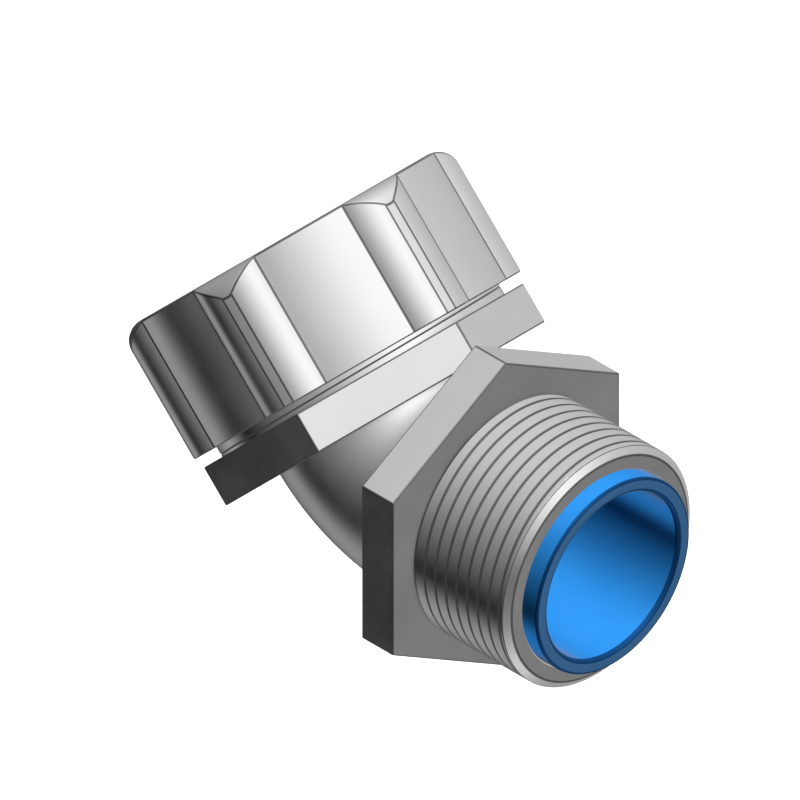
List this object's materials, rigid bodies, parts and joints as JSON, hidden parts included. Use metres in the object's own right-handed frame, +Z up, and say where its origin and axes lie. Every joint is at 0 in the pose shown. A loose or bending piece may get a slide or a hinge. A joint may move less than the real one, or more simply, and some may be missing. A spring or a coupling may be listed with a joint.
{
  "type": "liquidtight conduit connector",
  "caption": "Metal elbow fitting that joins liquidtight flexible conduit to a box at 45 degrees, with a ribbed gland nut and an insulated throat.",
  "frame": {"origin": "centre of the hub's shoulder face, on the hub thread's axis", "axes": "+X out along the hub thread; +Z up, the side the gland leans to; the gland's axis lies in the XZ plane and points 45 degrees up from -X"},
  "size_m": [0.0741, 0.0434, 0.0617],
  "materials": {
    "plated_casting": "zinc plated, satin",
    "plated_nut": "zinc plated, satin",
    "plated_steel": "zinc plated, bright",
    "blue_insulator": "smooth, glossy",
    "ring_nylon": "natural nylon, semi-matt"
  },
  "bodies": {
    "body": {"elbow_body": "plated_casting", "throat_liner": "blue_insulator", "ferrule": "plated_steel"},
    "ring": {"sealing_ring": "ring_nylon"},
    "nut": {"gland_nut": "plated_nut"}
  },
  "joints": [
    {"name": "nut_travel", "type": "slide", "parent": "body", "child": "ring", "axis": [-0.7071, 0, 0.7071], "range_m": [0, 0.00953]},
    {"name": "nut_turn", "type": "hinge", "parent": "ring", "child": "nut", "pos_m": [-0.0167, 0, 0], "axis": [-0.7071, 0, 0.7071], "range_deg": [0, 2160]}
  ],
  "couplings": [
    {"joint": "nut_travel", "follows": "nut_turn", "m_per_rad": 0.00025266}
  ]
}
